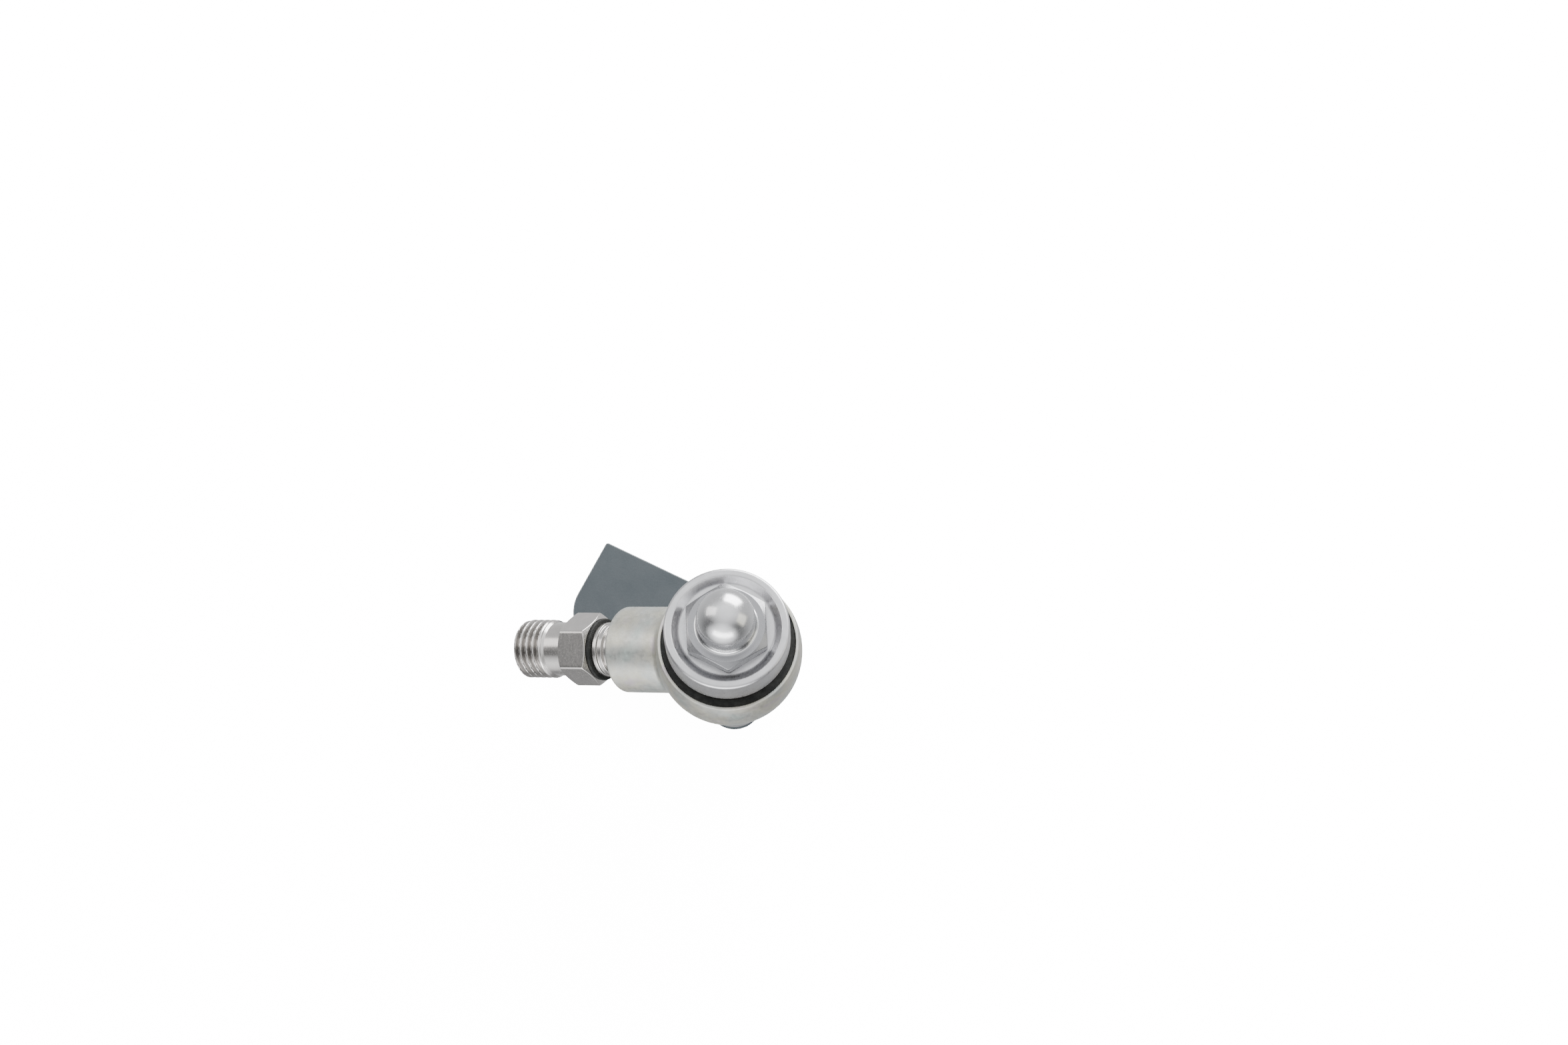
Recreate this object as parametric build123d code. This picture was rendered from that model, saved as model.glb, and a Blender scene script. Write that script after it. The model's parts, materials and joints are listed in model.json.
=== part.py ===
from build123d import *
import math
import os

# Sealed rod end bearing with an angled shank, a screwed-in stud, a cap-nut pin and a bracket plate.
#
# Frame: the origin is the centre of the ball, +Z runs along the pin towards the cap nut, and the
# shank leaves the head towards -X, dropping below the head's plane. Millimetres.

# Ball and race
ball_radius = 9.525
ball_proud = 1.75
liner_thickness = 0.6
liner_tilt_room = 1.2
race_wall = 1.6
joint_clearance = 0.05
ball_side_clearance = 0.2

# Head
head_half_width = 5.25
head_crown = 0.7
head_wall = 0.55
seal_land = 1.475
seal_step_depth = 0.95
seal_recess = 0.15
seal_race_gap = 0.2
retaining_ring_thickness = 0.7
retaining_ring_depth = 0.55
retaining_ring_width = 1.6
retaining_ring_gap = 5.0
lower_lip = 0.9

# Shank, which leaves the head at an angle below its plane
shank_angle = 28.0
shank_radius = 8.65
shank_length = 24.0
shank_edge = 0.5
root_fillet = 1.8
socket_depth = 8.5
socket_mouth_chamfer = 0.3

# Threaded stud
stud_core_radius = 4.65
insert_wall = 0.95
stud_neck_length = 3.2
collar_height = 0.85
collar_width = 2.2
collar_edge = 0.25
stud_seal_height = 1.65
stud_seal_width = 0.8
stud_seal_rounding = 0.3
hex_across_flats = 13.0
hex_height = 6.8
hex_turn = -21.9
hex_face_margin = 0.02
thread_radius = 6.0
relief_depth = 0.5
thread_length = 7.5
thread_chamfer = 0.6
thread_chamfer_side = 0.45
thread_root_step = 0.05
stud_relief_length = 4.1

# Pin, which runs through the ball
pin_radius = 5.0
pin_thread_radius = 4.0
pin_shoulder_gap = 0.1
pin_end_in_nut = 5.3
pin_chamfer = 0.7
rivet_radius = 3.5
rivet_head_overhang = 1.0
rivet_head_height = 1.0
rivet_recess = 0.1

# Cup washer over the head
cup_height = 6.9
cup_inset = 1.0
cup_wall = 1.6
cup_edge = 1.0
cup_head_gap = 2.15
dish_depth = 1.2
dish_floor_radius = 9.4
dish_rim_radius = 10.8
shield_recess = 0.3
bush_inset = 0.06
bush_gap = 0.05

# Cap nut
nut_across_flats = 15.5
nut_hex_height = 2.9
nut_turn = 43.8
dome_wall = 1.7
dome_rise = 9.7
dome_root_depth = 1.0

# Spacer stack and bracket plate behind the head
lower_bush_height = 3.0
tube_wall = 1.0
plate_stud_gap = 4.9
plate_thickness = 3.0
plate_direction = 164.0
plate_reach = 40.5
plate_upper_edge = 19.1
plate_lower_edge = -2.8
plate_waist = 9.0
plate_waist_radius = 3.0
plate_eye_wall = 2.1
plate_shoulder = 7.0
plate_shoulder_radius = 6.0
plate_corner_radius = 9.0
plate_tip_radius = 0.6
plate_edge_chamfer = 0.3
tilt_slope = 0.155
tilt_margin = 0.6

# Worked out from the driving sizes: ball, race and head
liner_inner_radius = ball_radius + joint_clearance
liner_outer_radius = liner_inner_radius + liner_thickness
race_inner_radius = liner_outer_radius + joint_clearance
race_outer_radius = race_inner_radius + race_wall
seal_step_radius = race_outer_radius + seal_land
seal_base = head_half_width - seal_step_depth
race_half_width = seal_base - retaining_ring_thickness
liner_half_width = race_half_width - liner_tilt_room
head_rim_radius = seal_step_radius + head_wall
head_radius = head_rim_radius + head_crown
lip_radius = race_outer_radius - lower_lip
groove_radius = race_outer_radius + retaining_ring_depth
ball_clearance_radius = race_inner_radius + ball_side_clearance
ball_bore_radius = pin_radius + joint_clearance
ball_face = head_half_width + ball_proud

# Pin, cup and nut
bush_start = ball_face + bush_gap
bush_radius = math.sqrt(ball_radius**2 - ball_face**2) - bush_inset
cup_radius = seal_step_radius - cup_inset
cup_skirt = head_half_width + cup_head_gap
cup_top = cup_skirt + cup_height
cup_seat = cup_top - dish_depth
nut_hex_top = cup_seat + nut_hex_height
pin_top = nut_hex_top + pin_end_in_nut
dome_radius = pin_thread_radius + dome_wall
rivet_head_radius = rivet_radius + rivet_head_overhang

# Stud
socket_radius = stud_core_radius + insert_wall
collar_radius = stud_core_radius + collar_height
stud_seal_radius = stud_core_radius + stud_seal_height
stud_relief_radius = thread_radius - relief_depth
hex_near = shank_length + stud_neck_length + collar_width + stud_seal_width
hex_far = hex_near + hex_height
thread_start = hex_far + stud_relief_length
thread_end = thread_start + thread_length
angle = math.radians(shank_angle)
stud_lowest = thread_end * math.sin(angle) + thread_radius * math.cos(angle)
shank_plane = Plane(
    origin=(0, 0, 0),
    x_dir=(0, 1, 0),
    z_dir=(-math.cos(angle), 0, -math.sin(angle)),
)

# Spacer stack and plate
tube_outer_radius = pin_radius + tube_wall
plate_face = stud_lowest + plate_stud_gap
plate_back = plate_face + plate_thickness
plate_eye_radius = rivet_radius + plate_eye_wall


def ring(outer, inner, low, high):
    """A plain ring about Z between two heights."""
    body = Pos(0, 0, (low + high) / 2) * Cylinder(outer, high - low)
    if inner > 0:
        body -= Pos(0, 0, (low + high) / 2) * Cylinder(inner, high - low)
    return body


def on_shank(body):
    """Place a body that was built along +Z from the origin on the shank's axis."""
    return shank_plane * body


def hex_prism(across_flats, low, high, turn):
    """A hexagonal prism about Z with one corner at the angle turn, its corners chamfered by 30 degrees."""
    corner = across_flats / math.sqrt(3)
    overhang = corner - across_flats / 2
    bevel = overhang * math.tan(math.radians(30))
    prism = Pos(0, 0, low) * extrude(RegularPolygon(corner, 6, rotation=turn), high - low)
    blank = Pos(0, 0, (low + high) / 2) * Cylinder(corner, high - low)
    blank = chamfer(blank.edges().filter_by(GeomType.CIRCLE), bevel, overhang - hex_face_margin)
    return prism & blank


def head_housing():
    """Crowned eye with its race bore, and the angled shank with its socket."""
    with BuildPart() as eye:
        with BuildSketch(Plane.XZ):
            with BuildLine():
                ThreePointArc(
                    (head_rim_radius, -head_half_width), (head_radius, 0), (head_rim_radius, head_half_width)
                )
                Polyline(
                    (head_rim_radius, head_half_width),
                    (0, head_half_width),
                    (0, -head_half_width),
                    (head_rim_radius, -head_half_width),
                )
            make_face()
        revolve(axis=Axis.Z)
    shank = Rot(0, 0, 90) * Pos(0, 0, shank_length / 2) * Cylinder(shank_radius, shank_length)
    end_edge = shank.edges().filter_by(GeomType.CIRCLE).sort_by(Axis.Z)[-1]
    shank = on_shank(fillet(end_edge, shank_edge))
    below = ring(shank_length + shank_radius, 0, -shank_length - shank_radius, seal_base)
    body = eye.part + (shank & below)
    root = body.edges().filter_by(GeomType.BSPLINE) + body.edges().filter_by(GeomType.ELLIPSE)
    housing = fillet(root, root_fillet) - tilt_space() - Sphere(ball_clearance_radius)
    housing -= ring(race_outer_radius, 0, -race_half_width, head_half_width)
    housing -= ring(lip_radius, 0, -head_half_width, 0)
    housing -= ring(seal_step_radius, 0, seal_base, head_half_width)
    housing -= ring(groove_radius, 0, race_half_width, seal_base)
    socket = Pos(0, 0, shank_length - socket_depth / 2) * Cylinder(socket_radius, socket_depth)
    mouth = Pos(0, 0, shank_length - socket_mouth_chamfer / 2) * Cone(
        socket_radius, socket_radius + socket_mouth_chamfer, socket_mouth_chamfer
    )
    return housing - on_shank(socket + mouth)


def tilt_space():
    """The cone below the head that the spacers sweep when the ball tilts, cut from the shank's root."""
    spacer_radius = max(bush_radius, tube_outer_radius) + tilt_margin
    near = spacer_radius + tilt_slope * head_half_width
    far = spacer_radius + tilt_slope * plate_face
    height = plate_face - head_half_width
    return Pos(0, 0, -head_half_width - height / 2) * Cone(far, near, height)


def race(low, high):
    """One half of the outer race, with a spherical seat."""
    return ring(race_outer_radius, 0, low, high) - Sphere(race_inner_radius)


def retaining_ring():
    """Open snap ring that holds the race in the head."""
    body = ring(groove_radius, groove_radius - retaining_ring_width, race_half_width, seal_base)
    gap = Pos(groove_radius, 0, race_half_width) * Box(
        3 * retaining_ring_width, retaining_ring_gap, 3 * retaining_ring_thickness
    )
    return body - gap


def lip_seal(outer, low, high):
    """Rubber ring whose inner lip follows the ball with a small gap."""
    return ring(outer, 0, low, high) - Sphere(ball_radius + joint_clearance)


def race_liner():
    """Spherical low-friction shell between the ball and the race."""
    band = ring(liner_outer_radius, 0, -liner_half_width, liner_half_width)
    return (Sphere(liner_outer_radius) & band) - Sphere(liner_inner_radius)


def ball():
    """Truncated ball with a cylindrical bore."""
    body = Sphere(ball_radius) & ring(ball_radius, 0, -ball_face, ball_face)
    return body - ring(ball_bore_radius, 0, -ball_face, ball_face)


def thread_insert():
    """Threaded steel bush screwed into the shank's socket."""
    bottom = shank_length - socket_depth
    return on_shank(ring(socket_radius, stud_core_radius, bottom, shank_length - socket_mouth_chamfer))


def stud():
    """Screwed-in stud: inner thread, neck, hexagon, relief and the outer thread."""
    inner = ring(stud_core_radius, 0, shank_length - socket_depth, hex_near)
    hexagon = hex_prism(hex_across_flats, hex_near, hex_far, hex_turn)
    relief = ring(stud_relief_radius, 0, hex_far, thread_start)
    threaded = Pos(0, 0, (thread_start + thread_end) / 2) * Cylinder(thread_radius, thread_length)
    rims = threaded.edges().filter_by(GeomType.CIRCLE).sort_by(Axis.Z)
    threaded = chamfer(rims[-1], thread_chamfer, thread_chamfer_side)
    rims = threaded.edges().filter_by(GeomType.CIRCLE).sort_by(Axis.Z)
    threaded = chamfer(rims[0], thread_radius - stud_relief_radius - thread_root_step)
    return on_shank(inner + hexagon + relief + threaded)


def stud_collar():
    """Bright locking collar on the stud's neck."""
    low = shank_length + stud_neck_length
    body = ring(collar_radius, stud_core_radius, low, low + collar_width)
    outer = body.edges().filter_by(GeomType.CIRCLE).group_by(SortBy.RADIUS)[-1]
    return on_shank(chamfer(outer, collar_edge))


def stud_seal():
    """Rubber sealing ring between the collar and the hexagon."""
    low = hex_near - stud_seal_width
    body = ring(stud_seal_radius, stud_core_radius, low, hex_near)
    outer = body.edges().filter_by(GeomType.CIRCLE).group_by(SortBy.RADIUS)[-1]
    return on_shank(fillet(outer, stud_seal_rounding))


def countersunk_end(high):
    """The riveted end of the pin, from a height inside the plate down to its countersunk head."""
    low = -plate_back
    head = Pos(0, 0, low + rivet_head_height / 2) * Cone(rivet_head_radius, rivet_radius, rivet_head_height)
    return ring(rivet_radius, 0, low, high) + head


def pivot_pin():
    """Shouldered pin through the ball, threaded for the cap nut and riveted in the plate."""
    shoulder = cup_seat - cup_wall - pin_shoulder_gap
    thread = ring(pin_thread_radius, 0, shoulder, pin_top)
    thread = chamfer(thread.edges().filter_by(GeomType.CIRCLE).sort_by(Axis.Z)[-1], pin_chamfer)
    recess = ring(2 * rivet_head_radius, 0, -plate_back, rivet_recess - plate_back)
    rivet = countersunk_end(-plate_face) - recess
    return ring(pin_radius, 0, -plate_face, shoulder) + thread + rivet


def cup_washer():
    """Turned cup over the head: a skirt, a rounded rim and a dished top with a flat seat for the nut."""
    body = ring(cup_radius, 0, cup_skirt, cup_top)
    top_edge = body.edges().filter_by(GeomType.CIRCLE).sort_by(Axis.Z)[-1]
    body = fillet(top_edge, cup_edge)
    body -= Pos(0, 0, cup_top - dish_depth / 2) * Cone(dish_floor_radius, dish_rim_radius, dish_depth)
    body -= ring(cup_radius - cup_wall, 0, cup_skirt, cup_seat - cup_wall)
    return body - ring(pin_thread_radius, 0, cup_skirt, cup_top)


def dust_shield():
    """Rubber ring bonded inside the cup, around the bush."""
    return ring(cup_radius - cup_wall, bush_radius, cup_skirt + shield_recess, cup_seat - cup_wall)


def cap_nut():
    """Tall domed nut on a low chamfered hexagon, with a blind thread bore."""
    hexagon = hex_prism(nut_across_flats, cup_seat, nut_hex_top, nut_turn)
    dome_base = dome_rise - dome_radius
    neck = ring(dome_radius, 0, nut_hex_top - dome_root_depth, nut_hex_top + dome_base)
    dome = Pos(0, 0, nut_hex_top + dome_base) * (
        Sphere(dome_radius) & (Pos(0, 0, dome_radius / 2) * Cylinder(dome_radius + 1, dome_radius))
    )
    return hexagon + neck + dome - ring(pin_thread_radius, 0, cup_seat, pin_top)


def eye_tangent(corner, side):
    """Where a line from a corner touches the plate's eye, on its upper (1) or lower (-1) side."""
    turn = math.atan2(corner[1], corner[0]) + side * math.acos(plate_eye_radius / math.hypot(*corner))
    return (plate_eye_radius * math.cos(turn), plate_eye_radius * math.sin(turn))


def bracket_plate():
    """Flat plate with a small eye at the pin, one square far corner and one large rounded one."""
    shoulder = (plate_shoulder, plate_upper_edge)
    waist = (plate_waist, plate_lower_edge)
    upper, lower = eye_tangent(shoulder, 1), eye_tangent(waist, -1)
    with BuildSketch() as outline:
        with BuildLine():
            Polyline(
                upper,
                shoulder,
                (plate_reach, plate_upper_edge),
                (plate_reach, plate_lower_edge),
                waist,
                lower,
            )
            ThreePointArc(lower, (-plate_eye_radius, 0), upper)
        make_face()
        corners = outline.vertices()
        for place, radius in (
            (shoulder, plate_shoulder_radius),
            (waist, plate_waist_radius),
            ((plate_reach, plate_upper_edge), plate_tip_radius),
            ((plate_reach, plate_lower_edge), plate_corner_radius),
        ):
            fillet(corners.sort_by_distance(place)[0], radius)
            corners = outline.vertices()
    plate = mirror(extrude(outline.sketch, plate_thickness), Plane.XZ)
    plate = chamfer(plate.faces().sort_by(Axis.Z)[-1].edges(), plate_edge_chamfer)
    return Pos(0, 0, -plate_back) * Rot(0, 0, plate_direction) * plate - countersunk_end(-plate_face)


def build_parts():
    """Every sub-part by name."""
    seal_low = seal_recess - head_half_width
    return {
        "head_housing": head_housing(),
        "race_upper": race(0, race_half_width),
        "race_lower": race(-race_half_width, 0),
        "retaining_ring": retaining_ring(),
        "seal_upper": lip_seal(seal_step_radius, seal_base, head_half_width - seal_recess),
        "seal_lower": lip_seal(lip_radius, seal_low, -race_half_width - seal_race_gap),
        "thread_insert": thread_insert(),
        "stud": stud(),
        "stud_collar": stud_collar(),
        "stud_seal": stud_seal(),
        "race_liner": race_liner(),
        "ball": ball(),
        "pivot_pin": pivot_pin(),
        "bush_upper": ring(bush_radius, pin_radius, bush_start, cup_seat - cup_wall),
        "cup_washer": cup_washer(),
        "dust_shield": dust_shield(),
        "cap_nut": cap_nut(),
        "bush_lower": ring(bush_radius, pin_radius, -bush_start - lower_bush_height, -bush_start),
        "spacer_tube": ring(tube_outer_radius, pin_radius, -plate_face, -bush_start - lower_bush_height),
        "bracket_plate": bracket_plate(),
    }


os.makedirs("parts", exist_ok=True)
for name, part in build_parts().items():
    part.label = name
    export_step(part, f"parts/{name}.step")
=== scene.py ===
"""Sealed rod end bearing with an angled shank, a hexagon stud, a cap-nut pin and a bracket plate.

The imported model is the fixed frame. Pieces whose edges, threads or lips matter are rebuilt as finer
meshes on the same axes, and every other piece keeps its shape and gets a better finish.
"""

import json
import logging
import math
from dataclasses import dataclass, field
from enum import Enum
from typing import Callable, Iterable, Sequence

import bpy
import numpy as np
from mathutils import Matrix, Vector


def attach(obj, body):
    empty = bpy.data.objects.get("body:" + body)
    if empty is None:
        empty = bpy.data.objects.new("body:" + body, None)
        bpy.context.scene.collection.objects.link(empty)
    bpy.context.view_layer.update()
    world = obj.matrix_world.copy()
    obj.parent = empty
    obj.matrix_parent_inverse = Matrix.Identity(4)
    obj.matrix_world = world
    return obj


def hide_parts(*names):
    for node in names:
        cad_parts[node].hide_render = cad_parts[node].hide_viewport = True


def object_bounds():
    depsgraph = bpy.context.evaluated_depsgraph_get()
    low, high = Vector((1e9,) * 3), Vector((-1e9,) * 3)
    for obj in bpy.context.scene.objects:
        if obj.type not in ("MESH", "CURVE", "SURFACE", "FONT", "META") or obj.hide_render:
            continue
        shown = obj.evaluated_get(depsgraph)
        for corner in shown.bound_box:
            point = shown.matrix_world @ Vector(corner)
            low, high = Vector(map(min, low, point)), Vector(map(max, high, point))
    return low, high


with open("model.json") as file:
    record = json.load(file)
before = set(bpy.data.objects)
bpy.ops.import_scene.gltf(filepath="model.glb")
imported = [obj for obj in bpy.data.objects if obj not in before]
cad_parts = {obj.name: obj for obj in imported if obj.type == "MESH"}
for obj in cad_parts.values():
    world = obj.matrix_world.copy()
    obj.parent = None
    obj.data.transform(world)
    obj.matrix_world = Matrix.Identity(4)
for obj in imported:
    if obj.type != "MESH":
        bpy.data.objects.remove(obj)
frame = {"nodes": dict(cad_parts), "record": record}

CAD_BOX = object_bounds()
MM = 0.001
TURN = 2 * math.pi

# How a section's corners are rounded, as shares: the most of a side that a rounding takes, and how far its
# support points stand from the corner compared with the rounding's own ends.
SIDE_SHARE = 0.42
SUPPORT_SHARE = 1.3

# Millimetres between the first and last point of a closed section, and between two pieces that fit.
SEAM = 0.01
SKIN = 0.01

# Where most values of a noise lie.
NOISE_MIDDLE = (0.3, 0.7)

# Depth of a metric thread compared with its pitch.
THREAD_DEPTH_SHARE = 0.6134

logging.basicConfig(level=logging.INFO, format="%(message)s")
log = logging.getLogger("rod_end")

Point = tuple[float, float]
Path = list[Point]
Section = Callable[[float], Path]
Socket = bpy.types.NodeSocket
Value = Socket | float
Tint = Socket | Sequence[float]


class Body(Enum):
    """The bodies that pieces ride on."""

    HOUSING = "housing"
    PIN = "pin_group"


class Slot(Enum):
    """Names of the record's material slots, given with rebuilt pieces but not applied to them."""

    NICKEL = "nickel_steel"
    POLISHED = "polished_steel"
    RUBBER = "black_rubber"
    SATIN = "satin_steel"


class Ends(Enum):
    """How a turned section closes."""

    LOOP = "loop"
    POLES = "poles"


# --------------------------------------------------------------------------------------------------
# Axes and meshes


@dataclass(frozen=True)
class Span:
    """Where a node lies along an axis, in millimetres."""

    low: float
    high: float
    radius: float


@dataclass(frozen=True)
class AxisLine:
    """A line through the ball's centre that pieces are turned about."""

    direction: Vector
    start: Vector

    def matrix(self) -> Matrix:
        """Finds the turn that takes a piece built about Z onto this line.

        Returns:
            The rotation, as a 4 x 4 matrix.
        """
        z = self.direction.normalized()
        x = (self.start - z * self.start.dot(z)).normalized()
        y = z.cross(x)
        return Matrix((x, y, z)).transposed().to_4x4()

    def span(self, node: str) -> Span:
        """Measures a node of the frame along this line.

        Args:
            node: The node's name.

        Returns:
            Its lowest and highest place on the line and its largest radius, in millimetres.
        """
        mesh = frame["nodes"][node].data
        points = np.empty(len(mesh.vertices) * 3)
        mesh.vertices.foreach_get("co", points)
        points = points.reshape(-1, 3) / MM
        direction = np.array(self.direction.normalized())
        along = points @ direction
        away = np.linalg.norm(points - np.outer(along, direction), axis=1)
        return Span(float(along.min()), float(along.max()), float(away.max()))


def find_mount(name: str) -> dict:
    """One of the record's mounts, by its name."""
    return next(mount for mount in frame["record"]["mounts"] if mount["name"] == name)


STUD_THREAD = find_mount("stud_thread")
PIN_AXIS = AxisLine(Vector((0, 0, 1)), Vector((1, 0, 0)))
SHANK_AXIS = AxisLine(Vector(STUD_THREAD["axis"]), Vector((0, 1, 0)))


def rounded(points: Sequence[Point], radii: Sequence[float], steps: int = 5) -> Path:
    """Rounds the corners of a path and adds a support point beside each rounding.

    Args:
        points: The path's corners as (radius, height) in millimetres.
        radii: The rounding at each corner, 0 to leave it sharp.
        steps: Points on each rounding.

    Returns:
        The rounded path, with the same number of points for the same number of corners.
    """
    path: Path = []
    last = len(points) - 1
    for index, (corner, radius) in enumerate(zip(points, radii)):
        if index in (0, last) or radius <= 0:
            path.append(corner)
            continue
        here = Vector(corner)
        back = Vector(points[index - 1]) - here
        ahead = Vector(points[index + 1]) - here
        half = max(back.angle(ahead) / 2, 1e-3)
        reach = min(radius / math.tan(half), SIDE_SHARE * back.length, SIDE_SHARE * ahead.length)
        radius = reach * math.tan(half)
        back.normalize()
        ahead.normalize()
        centre = here + (back + ahead).normalized() * (radius / math.sin(half))
        first = here + back * reach
        final = here + ahead * reach
        path.append(tuple(here + back * reach * SUPPORT_SHARE))
        for step in range(steps + 1):
            share = step / steps
            spoke = (first - centre).lerp(final - centre, share).normalized()
            path.append(tuple(centre + spoke * radius))
        path.append(tuple(here + ahead * reach * SUPPORT_SHARE))
    return path


def arc(centre: Point, radius: float, start: float, end: float, steps: int) -> Path:
    """Points on an arc between two angles in degrees."""
    angles = [math.radians(start + (end - start) * step / steps) for step in range(steps + 1)]
    return [(centre[0] + radius * math.cos(a), centre[1] + radius * math.sin(a)) for a in angles]


def add_object(name: str, mesh: bpy.types.Mesh, sharp: float = 42.0) -> bpy.types.Object:
    """Links a mesh as a smooth-shaded object whose sharp edges stay sharp.

    Args:
        name: The piece's name.
        mesh: Its mesh, in metres.
        sharp: Edges that turn by more than this many degrees stay sharp.

    Returns:
        The new object.
    """
    mesh.polygons.foreach_set("use_smooth", [True] * len(mesh.polygons))
    mesh.set_sharp_from_angle(angle=math.radians(sharp))
    piece = bpy.data.objects.new(name, mesh)
    bpy.context.scene.collection.objects.link(piece)
    return piece


def turned(
    name: str,
    axis: AxisLine,
    section: Section | Path,
    ends: Ends = Ends.LOOP,
    segments: int = 192,
) -> bpy.types.Object:
    """Turns a section about an axis into a closed mesh.

    Args:
        name: The piece's name.
        axis: The line that it is turned about.
        section: A path of (radius, height), or a function from angle to such a path.
        ends: LOOP for a section that closes on itself, POLES for one that starts and ends on the axis.
        segments: Steps round the axis.

    Returns:
        The new object, in its place.
    """
    angles = [TURN * step / segments for step in range(segments)]
    rows = [section(angle) if callable(section) else section for angle in angles]
    if ends is Ends.POLES:
        poles = [(0.0, 0.0, rows[0][0][1]), (0.0, 0.0, rows[0][-1][1])]
        rows = [row[1:-1] for row in rows]
    else:
        poles = []
    count = len(rows[0])
    points = [
        (r * math.cos(angle), r * math.sin(angle), z) for angle, row in zip(angles, rows) for r, z in row
    ]
    faces = []
    around = [(step, (step + 1) % segments) for step in range(segments)]
    for here, there in around:
        near, far = here * count, there * count
        for index in range(count if ends is Ends.LOOP else count - 1):
            above = (index + 1) % count
            faces.append((near + index, far + index, far + above, near + above))
    if poles:
        start = len(points)
        points.extend(poles)
        for here, there in around:
            faces.append((start, there * count, here * count))
            faces.append((start + 1, here * count + count - 1, there * count + count - 1))
    mesh = bpy.data.meshes.new(name)
    mesh.from_pydata([axis.matrix() @ (Vector(p) * MM) for p in points], [], faces)
    outward(mesh)
    return add_object(name, mesh)


def outward(mesh: bpy.types.Mesh) -> None:
    """Turns a closed mesh's faces outward if they point in."""
    mesh.update()
    volume = 0.0
    for face in mesh.polygons:
        volume += face.center.dot(face.normal) * face.area
    if volume < 0:
        mesh.flip_normals()
    mesh.validate()
    mesh.update()


def ring_path(outer: float, inner: float, low: float, high: float, edge: float) -> Path:
    """A closed section of a plain ring with rounded edges.

    Args:
        outer: Outer radius.
        inner: Inner radius.
        low: Lower height.
        high: Upper height.
        edge: Rounding of the four edges.

    Returns:
        The section's points.
    """
    middle = (low + high) / 2
    corners = [
        (inner, middle),
        (inner, low),
        (outer, low),
        (outer, high),
        (inner, high),
        (inner, middle + SEAM),
    ]
    return rounded(corners, [0, edge, edge, edge, edge, 0])


@dataclass(frozen=True)
class Hexagon:
    """A hexagon across its flats, with softened corners and cone-cut ends."""

    across_flats: float
    turn: float
    softness: float = 70.0
    cone: float = 30.0
    face_share: float = 0.965

    def radius(self, angle: float) -> float:
        """Distance from the axis to the hexagon's side.

        Args:
            angle: Angle round the axis in radians.

        Returns:
            The distance, rounded over at the corners.
        """
        total = 0.0
        for side in range(6):
            reach = math.cos(angle - math.radians(self.turn + 30 + 60 * side))
            total += max(reach, 0.0) ** self.softness
        return self.across_flats / 2 * total ** (-1 / self.softness)

    def face_radius(self) -> float:
        """Radius of the round face left by the cone."""
        return self.across_flats / 2 * self.face_share

    def drop(self, angle: float) -> float:
        """How far the cone comes down the side at an angle."""
        return (self.radius(angle) - self.face_radius()) * math.tan(math.radians(self.cone))


# --------------------------------------------------------------------------------------------------
# Finishes


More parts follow.
